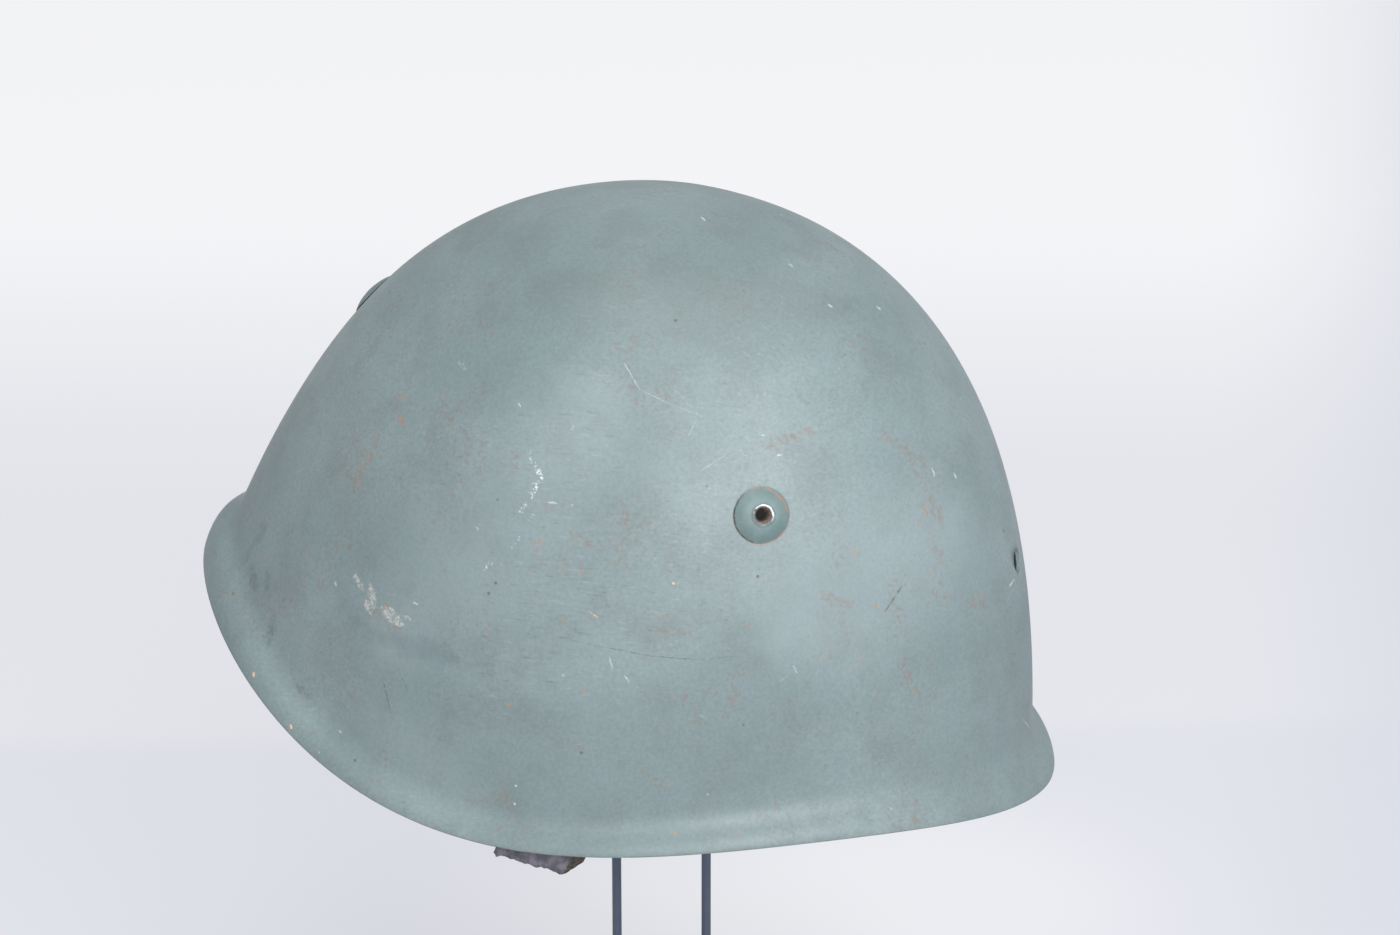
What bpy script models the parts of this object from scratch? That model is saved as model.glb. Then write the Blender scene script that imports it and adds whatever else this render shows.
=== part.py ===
"""Military steel helmet on a plain wire stand.

The shell is one pressed steel sheet with a bent-out rim and a vent hole at the rear. Three hollow
vent rivets go through it, and the left one holds the torn stub of a leather chin strap. The helmet
rests with its crown on the arch of a bent wire, whose two legs stand in a round foot plate.

Frame: metres, +Z up, the wearer's front towards -Y and left towards +X. The origin is the centre of
the foot plate's underside, between the two legs.
"""
import math
from collections import namedtuple

import bmesh
import bpy
from mathutils import Euler, Matrix, Vector

MM = 0.001

# Shell: heights count from a level plane through the helmet's lower part, in the helmet's own axes
SHEET = 1.2 * MM
CROWN_HEIGHT = 168.7 * MM
ROUNDNESS = 1.86          # 2 makes the plan an ellipse, less draws its quarters in
LIP_LEAN = 13.0           # degrees from upright at which the rim's cut edge ends

# Half sections: reach of the wall and its lean, how far the crown and the wall keep their
# direction, how far the rim goes out and down, and the lean at which it leaves the wall
Section = namedtuple("Section", "reach lean crown_run wall_run out down rim_lean")
FRONT = Section(131.2 * MM, 19.6, 0.55, 0.54, 9.8 * MM, 11.6 * MM, 66.0)
SIDE = Section(101.0 * MM, 4.5, 0.72, 0.66, 6.0 * MM, 6.6 * MM, 44.0)
REAR = Section(129.1 * MM, 5.3, 0.60, 0.68, 8.6 * MM, 12.5 * MM, 24.0)

# Height of the cut edge at the front, front quarter, side, rear quarter and rear
EDGE_HEIGHTS = (35.7 * MM, 12.5 * MM, -5.0 * MM, 5.8 * MM, 3.0 * MM)

# Vent rivets: angle round from the front towards the wearer's left, and how far down the wall
Vent = namedtuple("Vent", "name angle down holds_strap")
VENTS = (
    Vent("rivet_front", -3.5, 0.59, False),
    Vent("rivet_left", 121.0, 0.66, True),
    Vent("rivet_right", -121.0, 0.66, False),
)
HOLE_RADIUS = 3.1 * MM
REAR_VENT = Vent("rear_vent", 180.0, 0.795, False)      # a bare hole
REAR_VENT_RADIUS = 3.8 * MM
HEAD_RADIUS = 8.2 * MM
HEAD_HEIGHT = 2.3 * MM
HEAD_EDGE = 0.6 * MM
LIP_RADIUS = 3.3 * MM
VENT_RADIUS = 2.0 * MM
TUBE_RADIUS = 2.7 * MM
CLENCH_RADIUS = 4.4 * MM
CLENCH_THICKNESS = 0.8 * MM

# Chin strap stub: from just above the left rivet down to the torn end, which hangs inside the rim.
# Angle and how far down are counted like the rivets, and past 1 the strap hangs below the wall.
STRAP_WIDTH = 21.0 * MM
STRAP_THICKNESS = 2.0 * MM
STRAP_ABOVE_RIVET = 0.09       # share of its length
STRAP_BEND = (100.0, 0.84)
STRAP_END = (90.7, 1.040)
WALL_RADIUS = 95.0 * MM        # curve of the wall that the strap lies against

# Stand
WIRE_RADIUS = 1.5 * MM
LEG_SPACING = 30.0 * MM
LEG_DEPTH = 4.0 * MM
FOOT_RADIUS = 80.0 * MM
FOOT_THICKNESS = 6.0 * MM
FOOT_BEVEL = 1.0 * MM

# Where the helmet rests: its own level plane above the table, and the tilt that lifts its front
HELMET_LIFT = 124.0 * MM
HELMET_SHIFT = -11.4 * MM
HELMET_TILT = math.radians(-5.2)

# Clearances between neighbouring pieces, wider where a flat piece meets the curved sheet
GAP = 0.3 * MM
SHEET_GAP = 0.5 * MM

# Facets
SHELL_SEGMENTS = 64
DOME_RINGS = 20
RIM_RINGS = 5
TURNED_SEGMENTS = 24
STRAP_STATIONS = 14


def clear_scene():
    for item in list(bpy.data.objects):
        bpy.data.objects.remove(item, do_unlink=True)


def make_material(name, rgb, metallic, roughness):
    material = bpy.data.materials.new(name)
    material.use_nodes = True
    shader = material.node_tree.nodes["Principled BSDF"]
    shader.inputs["Base Color"].default_value = (*rgb, 1.0)
    shader.inputs["Metallic"].default_value = metallic
    shader.inputs["Roughness"].default_value = roughness
    material.diffuse_color = (*rgb, 1.0)
    return material


def add_object(name, build, material, parent=None):
    """Make an object whose mesh is filled by the function build(bm)."""
    bm = bmesh.new()
    build(bm)
    bmesh.ops.recalc_face_normals(bm, faces=bm.faces)
    mesh = bpy.data.meshes.new(name)
    bm.to_mesh(mesh)
    bm.free()
    mesh.shade_smooth()
    mesh.set_sharp_from_angle(angle=math.radians(35))
    mesh.materials.append(material)
    item = bpy.data.objects.new(name, mesh)
    item.parent = parent
    bpy.context.collection.objects.link(item)
    return item


def loft(bm, rings, cap=False):
    """Join closed rings of points with quads, and close both ends if asked."""
    rows = [[bm.verts.new(point) for point in ring] for ring in rings]
    for upper, lower in zip(rows, rows[1:]):
        for k in range(len(upper)):
            bm.faces.new((upper[k - 1], upper[k], lower[k], lower[k - 1]))
    if cap:
        bm.faces.new(rows[0])
        bm.faces.new(reversed(rows[-1]))
    return rows


def cosine_curve(values):
    """The smooth even curve through values at equal steps from 0 to 180 degrees."""
    last = len(values) - 1
    ends = (0, last)
    terms = []
    for k in range(last + 1):
        total = sum(v * (0.5 if j in ends else 1.0) * math.cos(math.pi * k * j / last)
                    for j, v in enumerate(values))
        terms.append(total * (1.0 if k in ends else 2.0) / last)
    return lambda angle: sum(a * math.cos(k * angle) for k, a in enumerate(terms))


edge_height = cosine_curve(EDGE_HEIGHTS)


def bezier(a, b, c, d, t):
    s = 1 - t
    return tuple(s**3 * p + 3 * s * s * t * q + 3 * s * t * t * r + t**3 * w
                 for p, q, r, w in zip(a, b, c, d))


def half_section(angle):
    """The front or rear section blended with the side one."""
    end = FRONT if math.cos(angle) > 0 else REAR
    share = math.cos(angle) ** 2
    return Section(*(a * share + b * (1 - share) for a, b in zip(end, SIDE)))


def shell_point(angle, down, rim=0.0):
    """A point of the outer surface, in the helmet's own axes.

    down runs from 0 at the crown to 1 at the bend of the rim, and straight on past 1. rim runs
    from 0 at that bend to 1 at the cut edge.
    """
    half = half_section(angle)
    edge = edge_height(angle)
    bend = edge + half.down
    run = half.wall_run * (CROWN_HEIGHT - bend)
    crown = (0.0, CROWN_HEIGHT)
    shoulder = (half.crown_run * half.reach, CROWN_HEIGHT)
    wall = (half.reach - math.tan(math.radians(half.lean)) * run, bend + run)
    foot = (half.reach, bend)
    if rim > 0:
        run = 0.42 * math.hypot(half.out, half.down)
        leave, lip = math.radians(half.rim_lean), math.radians(LIP_LEAN)
        outer = half.reach + half.out
        r, z = bezier(foot, (half.reach + run * math.sin(leave), bend - run * math.cos(leave)),
                      (outer - run * math.sin(lip), edge + run * math.cos(lip)),
                      (outer, edge), rim)
    elif down > 1:
        r, z = (f + 3 * (down - 1) * (f - w) for f, w in zip(foot, wall))
    else:
        r, z = bezier(crown, shoulder, wall, foot, down)
    ahead, left = math.cos(angle), math.sin(angle)
    reach = FRONT.reach if ahead > 0 else REAR.reach
    spread = (abs(ahead) ** ROUNDNESS + abs(left) ** ROUNDNESS) ** (-1 / ROUNDNESS)
    spread *= r / half.reach
    return Vector((spread * SIDE.reach * left, -spread * reach * ahead, z))


def shell_normal(angle, down):
    """The outward normal of the outer surface."""
    step = 0.001
    fall = shell_point(angle, down + step) - shell_point(angle, down - step)
    round_ = shell_point(angle + step, down) - shell_point(angle - step, down)
    return fall.cross(round_).normalized()


def build_shell(bm):
    """The outer skin: rings from near the crown down to the cut edge, and a fan at the crown."""
    stops = [(k / DOME_RINGS, 0.0) for k in range(1, DOME_RINGS + 1)]
    stops += [(1.0, k / RIM_RINGS) for k in range(1, RIM_RINGS + 1)]
    angles = [math.tau * k / SHELL_SEGMENTS for k in range(SHELL_SEGMENTS)]
    rows = loft(bm, [[shell_point(a, down, rim) for a in angles] for down, rim in stops])
    crown = bm.verts.new((0, 0, CROWN_HEIGHT))
    for k in range(SHELL_SEGMENTS):
        bm.faces.new((crown, rows[0][k], rows[0][k - 1]))


def turned(profile):
    """A builder for a closed (radius, height) profile turned round +Z."""
    def build(bm):
        verts = [bm.verts.new((r, 0, z)) for r, z in profile]
        edges = [bm.edges.new((v, verts[k - 1])) for k, v in enumerate(verts)]
        bmesh.ops.spin(bm, geom=verts + edges, cent=(0, 0, 0), axis=(0, 0, 1), dvec=(0, 0, 0),
                       angle=math.tau, steps=TURNED_SEGMENTS, use_merge=True)
        bmesh.ops.remove_doubles(bm, verts=bm.verts, dist=0.01 * MM)
    return build


def rivet_profile(holds_strap):
    """A hollow rivet: domed head, rolled lip round the vent, tube and clenched inner end."""
    grip = SHEET + SHEET_GAP + (STRAP_THICKNESS + SHEET_GAP if holds_strap else 0.0)
    inner = LIP_RADIUS + 0.4 * MM
    rise = HEAD_HEIGHT - 0.3 * MM - HEAD_EDGE
    steps = [k / 6 for k in range(7)]
    head = [(HEAD_RADIUS + (inner - HEAD_RADIUS) * s, HEAD_EDGE + rise * math.sin(s * math.pi / 2))
            for s in steps]
    return head + [
        (LIP_RADIUS, HEAD_HEIGHT),
        (LIP_RADIUS - 0.6 * MM, HEAD_HEIGHT - 0.1 * MM),
        (VENT_RADIUS, HEAD_HEIGHT - 1.0 * MM),
        (VENT_RADIUS, -grip - CLENCH_THICKNESS),
        (TUBE_RADIUS, -grip - 1.3 * CLENCH_THICKNESS),
        (CLENCH_RADIUS, -grip - CLENCH_THICKNESS),
        (CLENCH_RADIUS, -grip),
        (TUBE_RADIUS, -grip),
        (TUBE_RADIUS, GAP),
        (HEAD_RADIUS - 0.2 * MM, GAP),
    ]


def build_strap(bm):
    """A flat strip along the inside of the wall, bowed a little to the wall's curve."""
    half_width = STRAP_WIDTH / 2
    across = [-1.0, -0.5, 0.0, 0.5, 1.0]
    rivet = next((v.angle, v.down) for v in VENTS if v.holds_strap)

    def centre(s):
        angle, down = ((1 - s) ** 2 * a + 2 * s * (1 - s) * b + s * s * c
                       for a, b, c in zip(rivet, STRAP_BEND, STRAP_END))
        normal = shell_normal(math.radians(angle), down)
        depth = SHEET + SHEET_GAP + STRAP_THICKNESS / 2
        return shell_point(math.radians(angle), down) - normal * depth, normal

    rings = []
    for k in range(STRAP_STATIONS + 1):
        s = k / STRAP_STATIONS * (1 + STRAP_ABOVE_RIVET) - STRAP_ABOVE_RIVET
        here, normal = centre(s)
        along = (centre(s + 0.01)[0] - centre(s - 0.01)[0]).normalized()
        side = normal.cross(along).normalized()
        outer, inner = [], []
        for share in across:
            bow = (share * half_width) ** 2 / (2 * WALL_RADIUS)
            point = here + side * (share * half_width) - normal * bow
            outer.append(point + normal * (STRAP_THICKNESS / 2))
            inner.append(point - normal * (STRAP_THICKNESS / 2))
        rings.append(outer + inner[::-1])
    loft(bm, rings, cap=True)


def build_foot(bm):
    """A round plate with a bevelled upper edge."""
    bmesh.ops.create_cone(bm, cap_ends=True, segments=2 * TURNED_SEGMENTS, radius1=FOOT_RADIUS,
                          radius2=FOOT_RADIUS, depth=FOOT_THICKNESS,
                          matrix=Matrix.Translation((0, 0, FOOT_THICKNESS / 2)))
    rim = [e for e in bm.edges if all(v.co.z > FOOT_THICKNESS / 2 for v in e.verts)]
    bmesh.ops.bevel(bm, geom=rim, offset=FOOT_BEVEL, offset_type="OFFSET", segments=2,
                    profile=0.5, affect="EDGES", material=-1)


def pin(radius, low, high):
    """A builder for a plain upright cylinder."""
    def build(bm):
        bmesh.ops.create_cone(bm, cap_ends=True, segments=TURNED_SEGMENTS, radius1=radius,
                              radius2=radius, depth=high - low,
                              matrix=Matrix.Translation((0, 0, (low + high) / 2)))
    return build


def cut(item, tool):
    """Cut a hidden tool out of an object."""
    tool.hide_render = True
    tool.display_type = "WIRE"
    boolean = item.modifiers.new(tool.name, "BOOLEAN")
    boolean.operation = "DIFFERENCE"
    boolean.object = tool


def stand_on_shell(item, vent):
    """Put an object on the outer surface, with its +Z along the normal."""
    angle = math.radians(vent.angle)
    item.location = shell_point(angle, vent.down)
    item.rotation_euler = shell_normal(angle, vent.down).to_track_quat("Z", "Y").to_euler()


def add_helmet(rest):
    """Shell, vent rivets and chin strap stub, in the helmet's own axes under the empty rest."""
    field_paint = make_material("field_paint", (0.28, 0.36, 0.37), 0.0, 0.5)
    leather = make_material("old_leather", (0.07, 0.06, 0.055), 0.0, 0.8)
    shell = add_object("shell", build_shell, field_paint, rest)
    sheet = shell.modifiers.new("sheet", "SOLIDIFY")
    sheet.thickness = SHEET
    sheet.offset = -1.0
    sheet.use_even_offset = True
    strap = add_object("chin_strap_stub", build_strap, leather, rest)
    for vent in VENTS:
        rivet = add_object(vent.name, turned(rivet_profile(vent.holds_strap)), field_paint, rest)
        stand_on_shell(rivet, vent)
    for vent, radius in [(v, HOLE_RADIUS) for v in VENTS] + [(REAR_VENT, REAR_VENT_RADIUS)]:
        drill = add_object(vent.name + "_drill", pin(radius, -8 * MM, 4 * MM), field_paint, rest)
        stand_on_shell(drill, vent)
        cut(shell, drill)
        if vent.holds_strap:
            cut(strap, drill)


def crown_line(rest):
    """Points of the sheet's inner side along the helmet's middle, in world space."""
    points = []
    for angle in (0.0, math.pi):
        for k in range(1, 40):
            down = k / 100
            inner = shell_point(angle, down) - shell_normal(angle, down) * SHEET
            points.append(rest @ inner)
    return points


def add_stand(rest):
    """The bent wire, just touching the crown, and the foot plate that its legs stand in."""
    black = make_material("stand_paint", (0.06, 0.08, 0.11), 0.2, 0.4)
    bend = LEG_SPACING / 2
    outside = bend + WIRE_RADIUS
    arch_height = min(p.z - math.sqrt(outside**2 - p.y**2)
                      for p in crown_line(rest) if abs(p.y) < outside) - GAP
    foot_top = FOOT_THICKNESS - LEG_DEPTH
    route = [Vector((0, -bend, foot_top + GAP))]
    for k in range(17):
        turn = math.pi * k / 16
        route.append(Vector((0, -bend * math.cos(turn), arch_height + bend * math.sin(turn))))
    route.append(Vector((0, bend, foot_top + GAP)))

    curve = bpy.data.curves.new("stand_wire", "CURVE")
    curve.dimensions = "3D"
    curve.bevel_depth = WIRE_RADIUS
    curve.bevel_resolution = 4
    curve.use_fill_caps = True
    spline = curve.splines.new("POLY")
    spline.points.add(len(route) - 1)
    for point, place in zip(spline.points, route):
        point.co = (*place, 1.0)
    curve.materials.append(black)
    wire = bpy.data.objects.new("stand_wire", curve)
    bpy.context.collection.objects.link(wire)

    foot = add_object("stand_foot", build_foot, black)
    for name, y in (("front", -bend), ("rear", bend)):
        socket = add_object("socket_" + name,
                            pin(WIRE_RADIUS + GAP, foot_top, 2 * FOOT_THICKNESS), black)
        socket.location = (0, y, 0)
        cut(foot, socket)


def main():
    clear_scene()
    rest = bpy.data.objects.new("helmet_rest", None)
    rest.location = (0, HELMET_SHIFT, HELMET_LIFT)
    rest.rotation_euler = (HELMET_TILT, 0, 0)
    bpy.context.collection.objects.link(rest)
    add_helmet(rest)
    add_stand(Matrix.LocRotScale(rest.location, Euler(rest.rotation_euler), None))


main()
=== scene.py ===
"""Looks of a military steel helmet on its wire stand: worn paint, rivets and a torn strap."""
import math
from collections import namedtuple
from functools import partial

import bmesh
import bpy
from bpy.props import FloatProperty, FloatVectorProperty, PointerProperty
from mathutils import Euler, Matrix, Vector, noise
from mathutils.bvhtree import BVHTree


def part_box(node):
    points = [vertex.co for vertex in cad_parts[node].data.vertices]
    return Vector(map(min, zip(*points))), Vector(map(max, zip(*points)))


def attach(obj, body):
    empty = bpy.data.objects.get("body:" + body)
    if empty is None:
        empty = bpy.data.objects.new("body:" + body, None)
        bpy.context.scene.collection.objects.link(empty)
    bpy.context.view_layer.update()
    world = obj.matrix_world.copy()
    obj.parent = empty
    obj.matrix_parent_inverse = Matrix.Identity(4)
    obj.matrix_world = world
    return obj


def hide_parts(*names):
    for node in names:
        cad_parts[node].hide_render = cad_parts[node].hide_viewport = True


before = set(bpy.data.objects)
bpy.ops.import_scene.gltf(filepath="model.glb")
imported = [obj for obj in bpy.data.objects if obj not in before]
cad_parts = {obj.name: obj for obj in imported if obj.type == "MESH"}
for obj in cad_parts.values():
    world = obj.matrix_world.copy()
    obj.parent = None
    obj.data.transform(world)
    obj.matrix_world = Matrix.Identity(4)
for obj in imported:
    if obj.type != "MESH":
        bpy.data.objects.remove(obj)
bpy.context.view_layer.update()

bl_info = {
    "name": "Worn steel helmet",
    "version": (1, 0, 0),
    "blender": (4, 5, 0),
    "location": "View3D > Sidebar > Helmet",
    "description": "Builds the look of a worn military steel helmet on a wire stand",
    "category": "Add Mesh",
}

MM = 0.001

# The shell's form, in the helmet's own axes, as its solid has it
Section = namedtuple("Section", "reach lean crown_run wall_run out down rim_lean")
FRONT = Section(131.2 * MM, 19.6, 0.55, 0.54, 9.8 * MM, 11.6 * MM, 66.0)
SIDE = Section(101.0 * MM, 4.5, 0.72, 0.66, 6.0 * MM, 6.6 * MM, 44.0)
REAR = Section(129.1 * MM, 5.3, 0.60, 0.68, 8.6 * MM, 12.5 * MM, 24.0)
EDGE_HEIGHTS = (35.7 * MM, 12.5 * MM, -5.0 * MM, 5.8 * MM, 3.0 * MM)
CROWN_HEIGHT = 168.7 * MM
ROUNDNESS = 1.86
LIP_LEAN = 13.0
RIM_RUN = 0.42                  # how far the rim's end tangents run, as a share of its chord
SHEET, EDGE_BEVEL = 1.2 * MM, 0.25 * MM

# Where the helmet rests on the stand
HELMET_REST = Matrix.LocRotScale(Vector((0, -11.4 * MM, 124.0 * MM)),
                                 Euler((math.radians(-5.2), 0, 0)), None)

# Vent rivets: angle round from the front towards the wearer's left, and how far down the wall
Vent = namedtuple("Vent", "name angle down holds_strap")
VENTS = (
    Vent("rivet_front", -3.5, 0.59, False),
    Vent("rivet_left", 121.0, 0.66, True),
    Vent("rivet_right", -121.0, 0.66, False),
)
REAR_VENT = Vent("rear_vent", 180.0, 0.795, False)      # a bare hole

# The strap stub's way in (angle round, how far down), as its solid has it
STRAP_ABOVE_RIVET = 0.09
STRAP_BEND = (100.0, 0.84)
STRAP_END = (90.7, 1.040)
WALL_RADIUS = 95.0 * MM

# Its torn end: a nub, and a corner that folds in, both counted from its middle to its edge at 1
NUB_SHARE, NUB_WIDTH, NUB_LENGTH = -0.86, 0.07, 1.2 * MM
FOLD_SHARE, FOLD_START, FOLD_RUN, FOLD_LEAST = 0.45, 0.75, 0.2, 0.04
# The tear: how fast it changes, its place in the noise and its share of the raggedness
TEARS = ((3, 3.7, 1.0), (9, 8.1, 0.6))

# Fits: the rivet's tube in the sheet, and the strap against the sheet
GAP = 0.3 * MM
SHEET_GAP = 0.5 * MM

# Fine parts of a rivet: the head's border and its chamfer, the dome's end at the lip, the rolled
# lip and the clench. Then how deep the head's border sinks in, and what counts as level
HEAD_BORDER, CHAMFER_IN, CHAMFER_UP = 0.6 * MM, 0.2 * MM, 0.15 * MM
DOME_FOOT, DOME_DROP = 0.4 * MM, 0.3 * MM
LIP_CURL, LIP_INSET, LIP_THROAT = 0.5 * MM, 0.35 * MM, 1.2 * MM
CLENCH, CLENCH_DOME = 0.8 * MM, 0.24 * MM
HEAD_SINK, LEVEL = 0.15 * MM, 0.01 * MM

# Rust round a rivet, by the distance from its middle: on the sheet, and on the rim of its head
SHEET_RUST, HEAD_RUST, HEAD_REACH = (8.4 * MM, 9.8 * MM), (6.6 * MM, 8.3 * MM), 12 * MM

# The pins that cut the vents, and the patch of sheet that a rivet head is pressed to, laid out as
# if the shell were this far from its axis and its wall this long
PIN_LENGTH, PIN_SHIFT = 16 * MM, -3 * MM
PATCH_ROUND, PATCH_DOWN, PATCH_ABOVE = 90 * MM, 240 * MM, 20 * MM

# How finely the pieces are meshed: rings of the dome, of the bend and of the rim
SHELL_SEGMENTS = 192
SHELL_RINGS = (60, 4, 8)
RIVET_SEGMENTS, HEAD_STEPS = 64, 12
STRAP_GRID, STRAP_STOPS = (44, 90), 20
WIRE_SEGMENTS, ARCH_STEPS = 32, 24
FOOT_SEGMENTS = 128

# The foot plate's rounded edges, above and below
FOOT_BEVEL, FOOT_SOLE_BEVEL = 1.0 * MM, 0.3 * MM

# Lamps, from the camera's target: how far aside, up and away the key stands, and the top's place.
# Then the floor and the end of the view
KEY_ASIDE, KEY_RAISE, KEY_AWAY, KEY_SIZE = 0.25, 0.20, 1.9, 1.3
TOP_PLACE, TOP_SIZE = (0.3, 0.2, 1.7), 1.2
FLOOR_HALF, VIEW_END = 6.0, 50.0

# The photograph's frame, in pixels
PHOTO_WIDTH, PHOTO_HEIGHT = 1400, 935
SENSOR_WIDTH = 36.0


# Small tools

def linear(hex_colour):
    """An sRGB hex colour as linear values."""
    parts = (int(hex_colour[i:i + 2], 16) / 255 for i in (1, 3, 5))
    return tuple(p / 12.92 if p <= 0.04045 else ((p + 0.055) / 1.055) ** 2.4 for p in parts)


def colour(name, description, hex_colour):
    return FloatVectorProperty(name=name, description=description, subtype="COLOR", size=3,
                               min=0.0, max=1.0, default=linear(hex_colour))


def length(name, description, millimetres):
    return FloatProperty(name=name, description=description, subtype="DISTANCE", unit="LENGTH",
                         min=0.0, default=millimetres * MM, precision=4)


def share(name, description, default):
    return FloatProperty(name=name, description=description, subtype="FACTOR", min=0.0, max=1.0,
                         default=default)


def number(name, description, default, **settings):
    return FloatProperty(name=name, description=description, default=default,
                         **{"min": 0.0, **settings})


def position(name, description, default):
    return FloatVectorProperty(name=name, description=description, subtype="TRANSLATION", size=3,
                               unit="LENGTH", default=default, precision=4)


# Form of the shell

def cosine_curve(values):
    """The smooth even curve through values at equal steps from 0 to 180 degrees."""
    last = len(values) - 1
    ends = (0, last)
    terms = []
    for k in range(last + 1):
        total = sum(v * (0.5 if j in ends else 1.0) * math.cos(math.pi * k * j / last)
                    for j, v in enumerate(values))
        terms.append(total * (1.0 if k in ends else 2.0) / last)
    return lambda angle: sum(a * math.cos(k * angle) for k, a in enumerate(terms))


edge_height = cosine_curve(EDGE_HEIGHTS)


def bezier(points, t):
    """A point of the Bezier curve through two, three or four (radius, height) points."""
    points = [Vector(p) for p in points]
    while len(points) > 1:
        points = [a.lerp(b, t) for a, b in zip(points, points[1:])]
    return points[0]


class Profile:
    """The shell's outer profile at one angle round from the front."""

    def __init__(self, angle):
        end = FRONT if math.cos(angle) > 0 else REAR
        part = math.cos(angle) ** 2
        half = Section(*(a * part + b * (1 - part) for a, b in zip(end, SIDE)))
        edge = edge_height(angle)
        bend = edge + half.down
        run = half.wall_run * (CROWN_HEIGHT - bend)
        self.dome = ((0.0, CROWN_HEIGHT), (half.crown_run * half.reach, CROWN_HEIGHT),
                     (half.reach - math.tan(math.radians(half.lean)) * run, bend + run),
                     (half.reach, bend))
        run = RIM_RUN * math.hypot(half.out, half.down)
        leave, lip = math.radians(half.rim_lean), math.radians(LIP_LEAN)
        outer = half.reach + half.out
        self.rim = ((half.reach, bend),
                    (half.reach + run * math.sin(leave), bend - run * math.cos(leave)),
                    (outer - run * math.sin(lip), edge + run * math.cos(lip)), (outer, edge))
        ahead, left = math.cos(angle), math.sin(angle)
        spread = (abs(ahead) ** ROUNDNESS + abs(left) ** ROUNDNESS) ** (-1 / ROUNDNESS)
        spread /= half.reach
        reach = FRONT.reach if ahead > 0 else REAR.reach
        self.outward = Vector((spread * SIDE.reach * left, -spread * reach * ahead))

    def place(self, radius, height):
        return Vector((*(self.outward * radius), height))

    def point(self, down, rim=0.0):
        """down is 0 at the crown and 1 at the rim's bend, rim 0 at the bend and 1 at the edge."""
        if rim > 0:
            return self.place(*bezier(self.rim, rim))
        if down > 1:
            foot, wall = Vector(self.dome[3]), Vector(self.dome[2])
            return self.place(*(foot + 3 * (down - 1) * (foot - wall)))
        return self.place(*bezier(self.dome, down))

    def rounded(self, radius, dome_rings, bend_rings, rim_rings):
        """Points from near the crown to the cut edge, with the bend rounded off."""
        foot, wall = Vector(self.dome[3]), Vector(self.dome[2])
        top = 1 - radius / (3 * (foot - wall).length)
        low = radius / (3 * (Vector(self.rim[1]) - foot).length)
        above, below = bezier(self.dome, top), bezier(self.rim, low)
        points = [bezier(self.dome, top * k / dome_rings) for k in range(1, dome_rings + 1)]
        points += [bezier((above, foot, below), k / bend_rings) for k in range(1, bend_rings + 1)]
        points += [bezier(self.rim, low + (1 - low) * k / rim_rings)
                   for k in range(1, rim_rings + 1)]
        return [self.place(*p) for p in points]


def shell_frame(angle_degrees, down):
    """Matrix of a place on the outer surface: +Z out along the normal, +Y round the shell."""
    angle, step = math.radians(angle_degrees), 0.001
    here = Profile(angle).point(down)
    fall = Profile(angle).point(down + step) - Profile(angle).point(down - step)
    across = Profile(angle + step).point(down) - Profile(angle - step).point(down)
    normal = fall.cross(across).normalized()
    across.normalize()
    turn = Matrix((across.cross(normal), across, normal)).transposed()
    return Matrix.Translation(here) @ turn.to_4x4()


def vent_frame(vent):
    """Matrix of a vent's middle on the helmet as it rests on its stand."""
    return HELMET_REST @ shell_frame(vent.angle, vent.down)


# Mesh helpers

def new_object(name, bm, *materials):
    """Turn a bmesh into an object of the scene."""
    mesh = bpy.data.meshes.new(name)
    bm.to_mesh(mesh)
    bm.free()
    for material in materials:
        mesh.materials.append(material)
    made = bpy.data.objects.new(name, mesh)
    bpy.context.scene.collection.objects.link(made)
    return made


def finish_piece(name, bm, materials, replaced, sharp=40.0):
    """Turn a bmesh into a finished piece that rides on the root and replaces a solid's node."""
    piece = new_object(name, bm, *materials)
    piece.data.shade_smooth()
    piece.data.set_sharp_from_angle(angle=math.radians(sharp))
    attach(piece, "root")
    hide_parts(replaced)
    return piece


def turned(bm, profile, segments):
    """Turn a closed (radius, height) profile round +Z into a closed ring."""
    verts = [bm.verts.new((r, 0, z)) for r, z in profile]
    edges = [bm.edges.new((v, verts[k - 1])) for k, v in enumerate(verts)]
    bmesh.ops.spin(bm, geom=verts + edges, cent=(0, 0, 0), axis=(0, 0, 1), dvec=(0, 0, 0),
                   angle=math.tau, steps=segments, use_merge=True)
    bmesh.ops.remove_doubles(bm, verts=bm.verts, dist=0.005 * MM)
    bmesh.ops.recalc_face_normals(bm, faces=bm.faces)


def apply_modifiers(piece):
    """Replace a piece's mesh with what its modifiers make of it."""
    graph = bpy.context.evaluated_depsgraph_get()
    mesh = bpy.data.meshes.new_from_object(piece.evaluated_get(graph))
    piece.modifiers.clear()
    piece.data = mesh


# Node helpers

def set_inputs(node, inputs):
    """Set or link a node's inputs, given by place or by name."""
    for key, value in (inputs.items() if isinstance(inputs, dict) else enumerate(inputs)):
        socket = node.inputs[key]
        if isinstance(value, bpy.types.NodeSocket):
            node.id_data.links.new(value, socket)
        else:
            socket.default_value = (*value[:3], 1.0) if socket.type == "RGBA" else value


def add_node(tree, kind, inputs=(), output=0, **settings):
    """Add a node with its settings and inputs, and give one of its outputs."""
    node = tree.nodes.new("ShaderNode" + kind)
    for key, value in settings.items():
        setattr(node, key, value)
    set_inputs(node, inputs)
    return node.outputs[output]


def new_material(name):
    """An empty material, its shader, its node maker and the object coordinates."""
    material = bpy.data.materials.new(name)
    material.use_nodes = True
    tree = material.node_tree
    node = partial(add_node, tree)
    return material, tree.nodes["Principled BSDF"], node, node("TexCoord", output="Object")


def blobs(place, size_mm, detail=3.0, roughness=0.5):
    """Noise inputs whose blobs are about size_mm across."""
    return {"Vector": place, "Scale": 1 / (size_mm * MM), "Detail": detail,
            "Roughness": roughness}


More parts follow.
